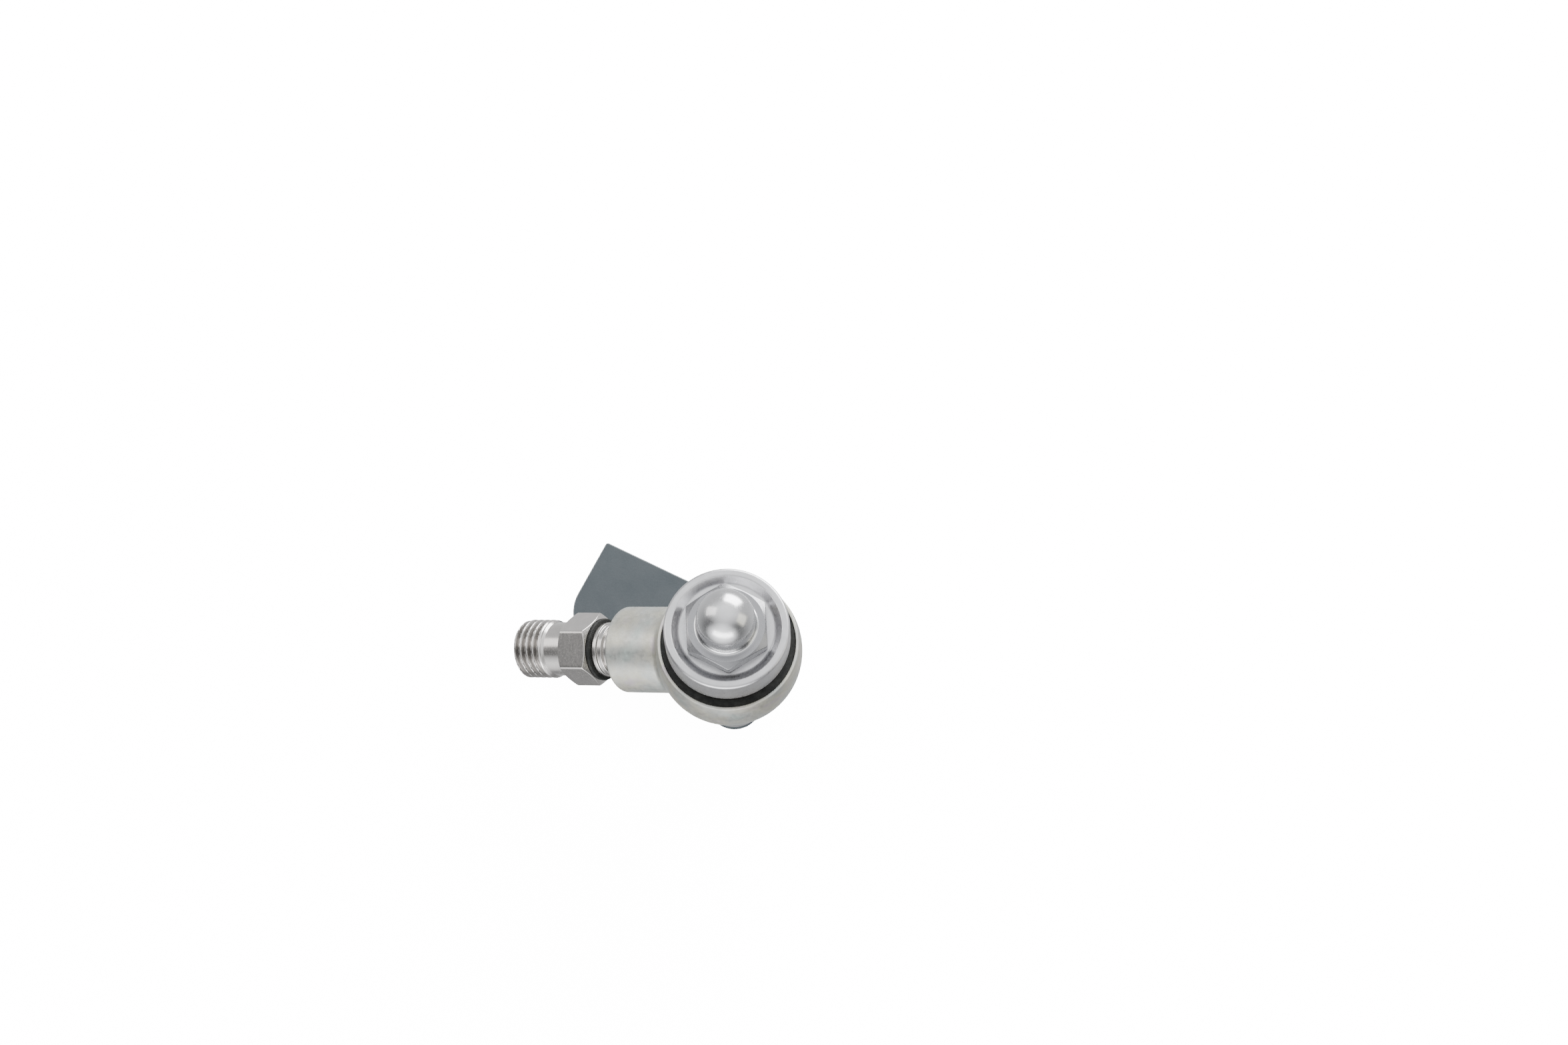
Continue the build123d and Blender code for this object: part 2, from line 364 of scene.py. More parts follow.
class Graph:
    """A material's nodes while it is being made."""

    def __init__(self, name: str, colour: Sequence[float], metallic: float, roughness: float) -> None:
        """Starts a material.

        Args:
            name: The material's name.
            colour: Its linear base colour.
            metallic: 1 for metal, 0 for anything else.
            roughness: Its mean roughness.
        """
        self.material = bpy.data.materials.new(name)
        self.material.use_nodes = True
        self.material.diffuse_color = (*colour, 1.0)
        self.nodes = self.material.node_tree.nodes
        self.links = self.material.node_tree.links
        self.shader = self.nodes["Principled BSDF"]
        self.shader.inputs["Base Color"].default_value = (*colour, 1.0)
        self.shader.inputs["Metallic"].default_value = metallic
        self.shader.inputs["Roughness"].default_value = roughness

    def add(self, kind: str, **sockets: object) -> bpy.types.Node:
        """Adds a node and sets or links its inputs.

        Args:
            kind: The node's type.
            **sockets: Values or output sockets by input name, with _ for a space.

        Returns:
            The node.
        """
        node = self.nodes.new(kind)
        for name, value in sockets.items():
            socket = node.inputs[name.replace("_", " ")]
            if isinstance(value, Socket):
                self.links.new(value, socket)
            else:
                socket.default_value = value
        return node

    def place(self, axis: AxisLine) -> Socket:
        """Place on the piece, in millimetres in the frame of an axis.

        Args:
            axis: The line that Z runs along.

        Returns:
            A vector socket.
        """
        where = self.nodes.new("ShaderNodeTexCoord").outputs["Object"]
        mapping = self.add("ShaderNodeMapping", Vector=where, Scale=(1 / MM,) * 3)
        mapping.inputs["Rotation"].default_value = axis.matrix().inverted().to_euler()
        return mapping.outputs["Vector"]

    def lathe_place(self, axis: AxisLine, across: float, along: float) -> Socket:
        """Coordinates that are the same all the way round an axis, for turning marks.

        Args:
            axis: The turning axis.
            across: Scale of the radius.
            along: Scale of the height.

        Returns:
            A vector socket.
        """
        here = self.add("ShaderNodeSeparateXYZ", Vector=self.place(axis))
        flat = self.add("ShaderNodeCombineXYZ", X=here.outputs["X"], Y=here.outputs["Y"])
        length = self.nodes.new("ShaderNodeVectorMath")
        length.operation = "LENGTH"
        self.links.new(flat.outputs["Vector"], length.inputs[0])
        radius = self.maths("MULTIPLY", length.outputs["Value"], across)
        height = self.maths("MULTIPLY", here.outputs["Z"], along)
        return self.add("ShaderNodeCombineXYZ", X=radius, Z=height).outputs["Vector"]

    def maths(self, operation: str, first: Value, second: Value) -> Socket:
        """Works out one operation on two values.

        Args:
            operation: The Math node's operation.
            first: The first value or socket.
            second: The second value or socket.

        Returns:
            The result's socket.
        """
        node = self.nodes.new("ShaderNodeMath")
        node.operation = operation
        for socket, value in zip(node.inputs, (first, second)):
            if isinstance(value, Socket):
                self.links.new(value, socket)
            else:
                socket.default_value = value
        return node.outputs["Value"]

    def noise(self, where: Socket, scale: float, detail: float = 3.0) -> Socket:
        """Noise between 0 and 1 at a scale per millimetre."""
        return self.add("ShaderNodeTexNoise", Vector=where, Scale=scale, Detail=detail).outputs["Fac"]

    def spread(self, value: Socket, low: float, high: float) -> Socket:
        """Maps the middle of a noise, where most of its values lie, to a range.

        Args:
            value: The noise.
            low: What its lower values become.
            high: What its higher values become.

        Returns:
            A value socket.
        """
        node = self.add("ShaderNodeMapRange", Value=value)
        node.inputs["From Min"].default_value, node.inputs["From Max"].default_value = NOISE_MIDDLE
        node.inputs["To Min"].default_value = low
        node.inputs["To Max"].default_value = high
        return node.outputs["Result"]

    def ramp(
        self, value: Socket, stops: Iterable[tuple[float, Sequence[float]]]
    ) -> Socket:
        """Colour ramp over a value.

        Args:
            value: What the ramp reads.
            stops: (place, linear colour) pairs in order.

        Returns:
            The colour socket.
        """
        node = self.add("ShaderNodeValToRGB", Fac=value)
        elements = node.color_ramp.elements
        for index, (place, colour) in enumerate(stops):
            element = elements[index] if index < 2 else elements.new(place)
            element.position = place
            element.color = (*colour, 1.0)
        return node.outputs["Color"]

    def mix(self, share: Value, first: Tint, second: Tint, blend: str = "MIX") -> Socket:
        """Mixes two colours.

        Args:
            share: How much of the second.
            first: The first colour or socket.
            second: The second colour or socket.
            blend: The blend mode.

        Returns:
            The colour socket.
        """
        node = self.nodes.new("ShaderNodeMix")
        node.data_type = "RGBA"
        node.blend_type = blend
        for socket, value in zip((node.inputs[0], node.inputs[6], node.inputs[7]), (share, first, second)):
            if isinstance(value, Socket):
                self.links.new(value, socket)
            elif isinstance(value, float):
                socket.default_value = value
            else:
                socket.default_value = (*value, 1.0)
        return node.outputs[2]

    def grey(self, value: Socket) -> Socket:
        """A grey of one value, for multiplying a colour."""
        return self.add("ShaderNodeCombineColor", Red=value, Green=value, Blue=value).outputs["Color"]

    def colour(self, socket: Socket) -> None:
        """Uses a socket as the base colour."""
        self.links.new(socket, self.shader.inputs["Base Color"])

    def roughness(self, socket: Socket) -> None:
        """Uses a socket as the roughness."""
        self.links.new(socket, self.shader.inputs["Roughness"])

    def slope(self, middle: float = 0.62, reach: float = 0.28) -> Socket:
        """1 on faces that lie between level and upright, such as a chamfer, and 0 elsewhere.

        Args:
            middle: Height of the unit normal on such a face.
            reach: How far from the middle still counts.

        Returns:
            A value socket.
        """
        normal = self.nodes.new("ShaderNodeTexCoord").outputs["Normal"]
        height = self.maths("ABSOLUTE", self.add("ShaderNodeSeparateXYZ", Vector=normal).outputs["Z"], 0.0)
        away = self.maths("ABSOLUTE", self.maths("SUBTRACT", height, middle), 0.0)
        return self.maths("LESS_THAN", away, reach)

    def bump(self, *layers: tuple[Socket, float], soften: float = 0.0) -> None:
        """Stacks bumps on the surface.

        Args:
            *layers: Height sockets, each with its depth in millimetres.
            soften: Radius in millimetres that sharp edges are shaded with, 0 for none.
        """
        normal = None
        if soften > 0:
            normal = self.add("ShaderNodeBevel", Radius=soften * MM).outputs["Normal"]
        for height, depth in layers:
            node = self.add("ShaderNodeBump", Height=height, Distance=depth * MM, Strength=1.0)
            if normal is not None:
                self.links.new(normal, node.inputs["Normal"])
            normal = node.outputs["Normal"]
        self.links.new(normal, self.shader.inputs["Normal"])


@dataclass(frozen=True)
class ZincPlate:
    """Dull bright-zinc plating with a faint yellow, green and pink bloom."""

    axis: AxisLine
    name: str = "zinc_plate"
    colour: tuple[float, float, float] = (0.52, 0.53, 0.50)
    warm: tuple[float, float, float] = (0.56, 0.55, 0.47)
    cool: tuple[float, float, float] = (0.47, 0.53, 0.50)
    rose: tuple[float, float, float] = (0.54, 0.50, 0.51)
    roughness: float = 0.44
    bloom_scale: float = 0.16
    cloud_scale: float = 0.55
    wear_scale: float = 1.3
    grain_scale: float = 9.0
    grain_depth: float = 0.010
    mark_pitch: float = 6.0
    mark_depth: float = 0.005
    soft_edge: float = 0.3

    def make(self) -> bpy.types.Material:
        """Builds the finish's nodes.

        Returns:
            The material.
        """
        graph = Graph(self.name, self.colour, 1.0, self.roughness)
        where = graph.place(self.axis)
        bloom = graph.noise(where, self.bloom_scale)
        stops = ((0.34, self.cool), (0.62, self.warm), (0.47, self.colour), (0.72, self.rose))
        tint = graph.ramp(bloom, sorted(stops))
        cloud = graph.spread(graph.noise(where, self.cloud_scale, 4.0), 0.86, 1.04)
        graph.colour(graph.mix(1.0, tint, graph.grey(cloud), "MULTIPLY"))
        wear = graph.noise(where, self.wear_scale, 4.0)
        graph.roughness(graph.spread(wear, self.roughness - 0.07, self.roughness + 0.09))
        grain = graph.noise(where, self.grain_scale)
        marks = graph.noise(graph.lathe_place(self.axis, self.mark_pitch, self.mark_pitch), 1.0, 2.0)
        graph.bump((grain, self.grain_depth), (marks, self.mark_depth), soften=self.soft_edge)
        return graph.material


@dataclass(frozen=True)
class TurnedSteel:
    """Machined steel with turning marks round its axis, and painted shade in the thread's roots where
    asked.
    """

    name: str
    axis: AxisLine
    colour: tuple[float, float, float]
    roughness: float
    marks: float = 0.004
    pitch: float = 7.0
    # How dark the painted shade in the thread's roots is.
    root_shade: float = 0.0
    cloud_scale: float = 0.5
    wear_scale: float = 2.2
    grain_scale: float = 14.0
    grain_depth: float = 0.0015

    def make(self) -> bpy.types.Material:
        """Builds the finish's nodes.

        Returns:
            The material.
        """
        graph = Graph(self.name, self.colour, 1.0, self.roughness)
        where = graph.place(self.axis)
        lines = graph.noise(graph.lathe_place(self.axis, self.pitch, self.pitch), 1.0)
        shade = graph.spread(graph.noise(where, self.cloud_scale, 4.0), 0.93, 1.02)
        # Painted shade: the colour darkens with the stored thread depth, standing in for the shade in the
        # thread's roots.
        shade_depth = graph.add("ShaderNodeAttribute")
        shade_depth.attribute_name = "groove"
        dark = graph.maths("SUBTRACT", shade, graph.maths("MULTIPLY", shade_depth.outputs["Fac"], self.root_shade))
        graph.colour(graph.mix(1.0, self.colour, graph.grey(dark), "MULTIPLY"))
        wear = graph.noise(where, self.wear_scale, 5.0)
        wear = graph.spread(wear, self.roughness * 0.8, self.roughness * 1.25)
        streak = graph.spread(lines, -0.04, 0.05)
        graph.roughness(graph.maths("ADD", wear, streak))
        grain = graph.noise(where, self.grain_scale, 2.0)
        graph.bump((lines, self.marks), (grain, self.grain_depth))
        return graph.material


@dataclass(frozen=True)
class Rubber:
    """Matt black rubber with a fine moulded skin."""

    name: str = "black_rubber"
    colour: tuple[float, float, float] = (0.010, 0.0105, 0.010)
    dusty: tuple[float, float, float] = (0.024, 0.025, 0.023)
    roughness: float = 0.62
    sheen_level: float = 0.22
    dust_scale: float = 0.8
    wear_scale: float = 3.0
    grain_scale: float = 11.0
    grain_depth: float = 0.01

    def make(self) -> bpy.types.Material:
        """Builds the finish's nodes.

        Returns:
            The material.
        """
        graph = Graph(self.name, self.colour, 0.0, self.roughness)
        graph.shader.inputs["Specular IOR Level"].default_value = self.sheen_level
        where = graph.place(PIN_AXIS)
        dust = graph.noise(where, self.dust_scale, 5.0)
        graph.colour(graph.ramp(dust, ((0.42, self.colour), (0.72, self.dusty))))
        wear = graph.noise(where, self.wear_scale)
        graph.roughness(graph.spread(wear, self.roughness - 0.1, self.roughness + 0.1))
        graph.bump((graph.noise(where, self.grain_scale), self.grain_depth))
        return graph.material


@dataclass(frozen=True)
class GreyPaint:
    """Matt blue-grey paint with a slight orange peel."""

    name: str = "grey_paint"
    colour: tuple[float, float, float] = (0.051, 0.060, 0.066)
    deep: tuple[float, float, float] = (0.044, 0.053, 0.059)
    worn: tuple[float, float, float] = (0.20, 0.22, 0.23)
    roughness: float = 0.56
    sheen_level: float = 0.22
    cloud_scale: float = 0.22
    rub_scale: float = 0.9
    wear_scale: float = 1.6
    peel_scale: float = 1.8
    peel_depth: float = 0.02
    grain_scale: float = 12.0
    grain_depth: float = 0.004
    soft_edge: float = 0.12

    def make(self) -> bpy.types.Material:
        """Builds the finish's nodes.

        Returns:
            The material.
        """
        graph = Graph(self.name, self.colour, 0.0, self.roughness)
        graph.shader.inputs["Specular IOR Level"].default_value = self.sheen_level
        where = graph.place(PIN_AXIS)
        cloud = graph.noise(where, self.cloud_scale, 5.0)
        paint = graph.ramp(cloud, ((0.35, self.deep), (0.65, self.colour)))
        rubbed = graph.spread(graph.noise(where, self.rub_scale, 5.0), 0.35, 0.95)
        graph.colour(graph.mix(graph.maths("MULTIPLY", graph.slope(), rubbed), paint, self.worn))
        wear = graph.noise(where, self.wear_scale)
        graph.roughness(graph.spread(wear, self.roughness - 0.08, self.roughness + 0.06))
        peel = graph.noise(where, self.peel_scale, 2.0)
        grain = graph.noise(where, self.grain_scale, 2.0)
        graph.bump((peel, self.peel_depth), (grain, self.grain_depth), soften=self.soft_edge)
        return graph.material


@dataclass(frozen=True)
class WovenLiner:
    """Tan low-friction fabric bonded into a shell."""

    name: str = "woven_liner"
    colour: tuple[float, float, float] = (0.52, 0.43, 0.28)
    thread: tuple[float, float, float] = (0.36, 0.29, 0.18)
    roughness: float = 0.7
    weave: float = 4.0
    cloud_scale: float = 1.5
    depth: float = 0.01

    def make(self) -> bpy.types.Material:
        """Builds the finish's nodes.

        Returns:
            The material.
        """
        graph = Graph(self.name, self.colour, 0.0, self.roughness)
        where = graph.place(PIN_AXIS)
        checks = graph.add("ShaderNodeTexChecker", Vector=where, Scale=self.weave).outputs["Fac"]
        cloud = graph.noise(where, self.cloud_scale, 4.0)
        graph.colour(graph.mix(graph.maths("MULTIPLY", checks, cloud), self.colour, self.thread))
        graph.bump((checks, self.depth), (cloud, self.depth))
        return graph.material


def dress(piece: bpy.types.Object, *materials: bpy.types.Material) -> None:
    """Gives a piece its materials, the first on every face until another is chosen."""
    piece.data.materials.clear()
    for material in materials:
        piece.data.materials.append(material)


def dress_node(node: str, material: bpy.types.Material) -> None:
    """Gives a kept CAD node a better material."""
    for holder in frame["nodes"][node].material_slots:
        holder.material = material


def stand_in(piece: bpy.types.Object, node: str, body: Body, slot: Slot) -> None:
    """Puts a finer piece in the place of a CAD node.

    Args:
        piece: The finer piece.
        node: The node that it replaces.
        body: The body that it rides on.
        slot: The record's material slot; not used.
    """
    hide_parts(node)
    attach(piece, body.value)
    log.info("%s stands for %s on %s", piece.name, node, body.value)


# --------------------------------------------------------------------------------------------------
# Sub-assemblies


@dataclass
class Head:
    """The eye with its angled shank, race halves, snap ring and seals."""

    seal_gap: float = 0.06
    seal_lip: float = 0.35
    seal_bevel: float = 0.25
    seal_step: float = 0.1
    seal_rib_height: float = 0.12
    seal_edge: float = 0.12
    groove_start: tuple[float, float] = (0.30, 0.36)
    groove_end: tuple[float, float] = (0.62, 0.68)

    def build(self) -> None:
        """Dresses the head's nodes and builds its upper seal."""
        zinc = ZincPlate(SHANK_AXIS).make()
        dress_node("head_housing", zinc)
        ground = TurnedSteel("ground_race", PIN_AXIS, (0.50, 0.51, 0.53), 0.22, marks=0.002).make()
        for node in ("race_upper", "race_lower"):
            dress_node(node, ground)
        spring = TurnedSteel("spring_ring", PIN_AXIS, (0.20, 0.20, 0.21), 0.4).make()
        dress_node("retaining_ring", spring)
        rubber = Rubber().make()
        dress_node("seal_lower", rubber)
        seal = self.upper_seal()
        dress(seal, rubber)
        stand_in(seal, "seal_upper", Body.HOUSING, Slot.RUBBER)
        log.info("head dressed")

    def upper_seal(self) -> bpy.types.Object:
        """Rubber ring with a groove between two lands and a lip beside the ball.

        Returns:
            The ring, in its place.
        """
        span = PIN_AXIS.span("seal_upper")
        ball = PIN_AXIS.span("ball").radius
        inner_low = math.sqrt(ball**2 - span.low**2) + self.seal_gap
        inner_high = math.sqrt(ball**2 - span.high**2) + self.seal_gap
        outer = span.radius
        width = outer - inner_high
        floor = span.high - self.seal_rib_height
        corners = [
            (inner_low, span.low),
            (outer, span.low),
            (outer, span.high - self.seal_step),
            (outer - self.seal_bevel, span.high),
            (outer - self.groove_start[0] * width, span.high),
            (outer - self.groove_start[1] * width, floor),
            (outer - self.groove_end[0] * width, floor),
            (outer - self.groove_end[1] * width, span.high),
            (inner_high + self.seal_lip, span.high),
            (inner_high, span.high - self.seal_step),
            (inner_low - self.seal_step, (span.low + span.high) / 2),
            (inner_low, span.low + self.seal_step / 2),
        ]
        edge = self.seal_edge
        path = rounded(corners, [0, 0, *[edge] * 8, 0, 0])
        return turned("eye_seal", PIN_AXIS, path)


@dataclass
class ThreadedStud:
    """The stud: inner thread core, neck, hexagon, relief and outer thread, with its collar and seal."""

    hexagon: Hexagon = field(default_factory=lambda: Hexagon(across_flats=13.0, turn=-21.9))
    core_radius: float = 4.65
    relief_radius: float = 5.5
    hexagon_height: float = 6.8
    thread_length: float = 7.5
    pitch: float = 1.5
    crest_share: float = 0.16
    root_share: float = 0.22
    flank_curve: float = 0.35
    run_in: float = 0.3
    end_chamfer: float = 0.6
    end_slope: float = 0.75
    end_edge: float = 0.25
    core_chamfer: float = 0.4
    core_edge: float = 0.1
    neck_fillet: float = 0.2
    edge: float = 0.16
    relief_fillet: float = 0.45
    # Lengths at the thread's two ends that get no painted shade in the roots.
    unshaded_ends: tuple[float, float] = (0.4, 0.1)
    centre_hole: float = 1.6
    hole_chamfer: tuple[float, float] = (0.5, 0.3)
    hole_depth: float = 1.4
    hole_tip: float = 0.5
    collar_step_share: float = 0.45
    collar_step: float = 0.34
    collar_bevel: float = 0.12
    collar_roundings: tuple[float, ...] = (0, 0.05, 0.15, 0.1, 0.15, 0.25, 0.05, 0)
    seal_round_share: float = 0.42
    thread_segments: int = 180
    thread_step: float = 0.055

    def build(self) -> None:
        """Builds the stud, its collar and its seal, and dresses the insert."""
        # The stud's thread roots are darkened as painted shade.
        nickel = TurnedSteel(
            "nickel_stud", SHANK_AXIS, (0.57, 0.55, 0.53), 0.21, marks=0.003, pitch=6.0, root_shade=0.4
        ).make()
        stud = self.stud()
        dress(stud, nickel)
        stand_in(stud, "stud", Body.HOUSING, Slot.NICKEL)
        collar = self.collar()
        dress(collar, nickel)
        stand_in(collar, "stud_collar", Body.HOUSING, Slot.NICKEL)
        seal = self.seal()
        dress(seal, Rubber("stud_rubber").make())
        stand_in(seal, "stud_seal", Body.HOUSING, Slot.RUBBER)
        insert = TurnedSteel("insert_steel", SHANK_AXIS, (0.42, 0.42, 0.43), 0.35).make()
        dress_node("thread_insert", insert)
        log.info("stud built")

    def thread_depth(self) -> float:
        """Depth of the thread below its crest."""
        return THREAD_DEPTH_SHARE * self.pitch

    def thread_radius(self, outer: float, turn: float, height: float) -> float:
        """Radius of the thread's surface.

        Args:
            outer: The crest's radius.
            turn: Angle round the axis in radians.
            height: Height above the thread's start.

        Returns:
            The radius in millimetres.
        """
        phase = (height / self.pitch - turn / TURN) % 1.0
        away = abs(phase - 0.5) * 2
        rise = (away - self.root_share) / (1 - self.root_share - self.crest_share)
        rise = min(max(rise, 0.0), 1.0)
        eased = rise * rise * (3 - 2 * rise)
        rise += (eased - rise) * self.flank_curve
        return outer - self.thread_depth() * (1 - rise)

    def stud(self) -> bpy.types.Object:
        """The whole stud as one closed mesh, its helical thread included.

        Returns:
            The stud, in its place.
        """
        span = SHANK_AXIS.span("stud")
        outer = STUD_THREAD["dims"]["r_mm"]
        end = span.high
        start = end - self.thread_length
        steps = round(self.thread_length / self.thread_step)
        hexagon_low, hexagon_high = self.hexagon_ends()

        def section(angle: float) -> Path:
            """The stud's section at an angle.

            Args:
                angle: Angle round the axis in radians.

            Returns:
                Points of (radius, height) from the inner end to the bottom of the centre hole.
            """
            side = self.hexagon.radius(angle)
            face = self.hexagon.face_radius()
            drop = self.hexagon.drop(angle)
            corners = [
                (0, span.low),
                (self.core_radius - self.core_chamfer, span.low),
                (self.core_radius, span.low + self.core_chamfer),
                (self.core_radius, hexagon_low),
                (face, hexagon_low),
                (side, hexagon_low + drop),
                (side, hexagon_high - drop),
                (face, hexagon_high),
                (self.relief_radius, hexagon_high),
                (self.relief_radius, start - 2 * SEAM),
            ]
            core = [self.core_edge] * 2
            hexagon = [self.edge] * 4
            path = rounded(corners, [0, *core, self.neck_fillet, *hexagon, self.relief_fillet, 0])
            for step in range(steps + 1):
                height = self.thread_length * step / steps
                left = self.thread_length - height
                lead_in = self.relief_radius + height
                lead_out = outer - max(self.end_chamfer - left, 0.0) * self.end_slope
                fade = min(max((height - self.run_in) / self.pitch, 0.0), 1.0)
                cut = outer - self.thread_radius(outer, angle, height)
                radius = min(outer - cut * fade, lead_in, lead_out)
                path.append((radius, start + height))
            path.append((radius - self.end_edge, end))
            path.append((self.centre_hole + self.hole_chamfer[0], end))
            path.append((self.centre_hole, end - self.hole_chamfer[1]))
            path.append((self.hole_tip, end - self.hole_depth))
            path.append((0, end - self.hole_depth))
            return path

        stud = turned("threaded_stud", SHANK_AXIS, section, Ends.POLES, self.thread_segments)
        self.mark_grooves(stud, start, outer)
        return stud

    def mark_grooves(self, stud: bpy.types.Object, start: float, outer: float) -> None:
        """Stores how deep each point lies in the thread, for the finish to darken the roots as painted
        shade.

        Args:
            stud: The stud's object.
            start: Where the thread starts along the axis.
            outer: The crest's radius.
        """
        mesh = stud.data
        layer = mesh.attributes.new("groove", "FLOAT", "POINT")
        back = SHANK_AXIS.matrix().inverted()
        values = []
        for vertex in mesh.vertices:
            here = back @ vertex.co / MM
            depth = outer - math.hypot(here.x, here.y)
            inside = self.unshaded_ends[0] < here.z - start < self.thread_length - self.unshaded_ends[1]
            values.append(min(depth / self.thread_depth(), 1.0) if inside else 0.0)
        layer.data.foreach_set("value", values)

    def hexagon_ends(self) -> tuple[float, float]:
        """Where the hexagon starts and ends along the shank's axis."""
        low = SHANK_AXIS.span("stud_seal").high
        return low, low + self.hexagon_height

    def collar(self) -> bpy.types.Object:
        """Bright stepped collar on the neck.

        Returns:
            The collar, in its place.
        """
        span = SHANK_AXIS.span("stud_collar")
        middle = (span.low + span.high) / 2
        step = span.low + self.collar_step_share * (span.high - span.low)
        inner = self.core_radius + SKIN
        corners = [
            (inner, middle),
            (inner, span.low),
            (span.radius - self.collar_step, span.low),
            (span.radius - self.collar_step, step),
            (span.radius, step + self.collar_bevel),
            (span.radius, span.high),
            (inner, span.high),
            (inner, middle + SEAM),
        ]
        path = rounded(corners, self.collar_roundings)
        return turned("locking_collar", SHANK_AXIS, path)

    def seal(self) -> bpy.types.Object:
        """Rubber ring with a round outside.

        Returns:
            The ring, in its place.
        """
        span = SHANK_AXIS.span("stud_seal")
        edge = self.seal_round_share * (span.high - span.low)
        path = ring_path(span.radius, self.core_radius + SKIN, span.low, span.high, edge)
        return turned("stud_seal_ring", SHANK_AXIS, path)


@dataclass
class Bearing:
    """The ball and the liner that it turns in."""

    def build(self) -> None:
        """Dresses both pieces."""
        polish = TurnedSteel("polished_ball", PIN_AXIS, (0.74, 0.745, 0.76), 0.10, marks=0.0015).make()
        dress_node("ball", polish)
        dress_node("race_liner", WovenLiner().make())
        log.info("bearing dressed")


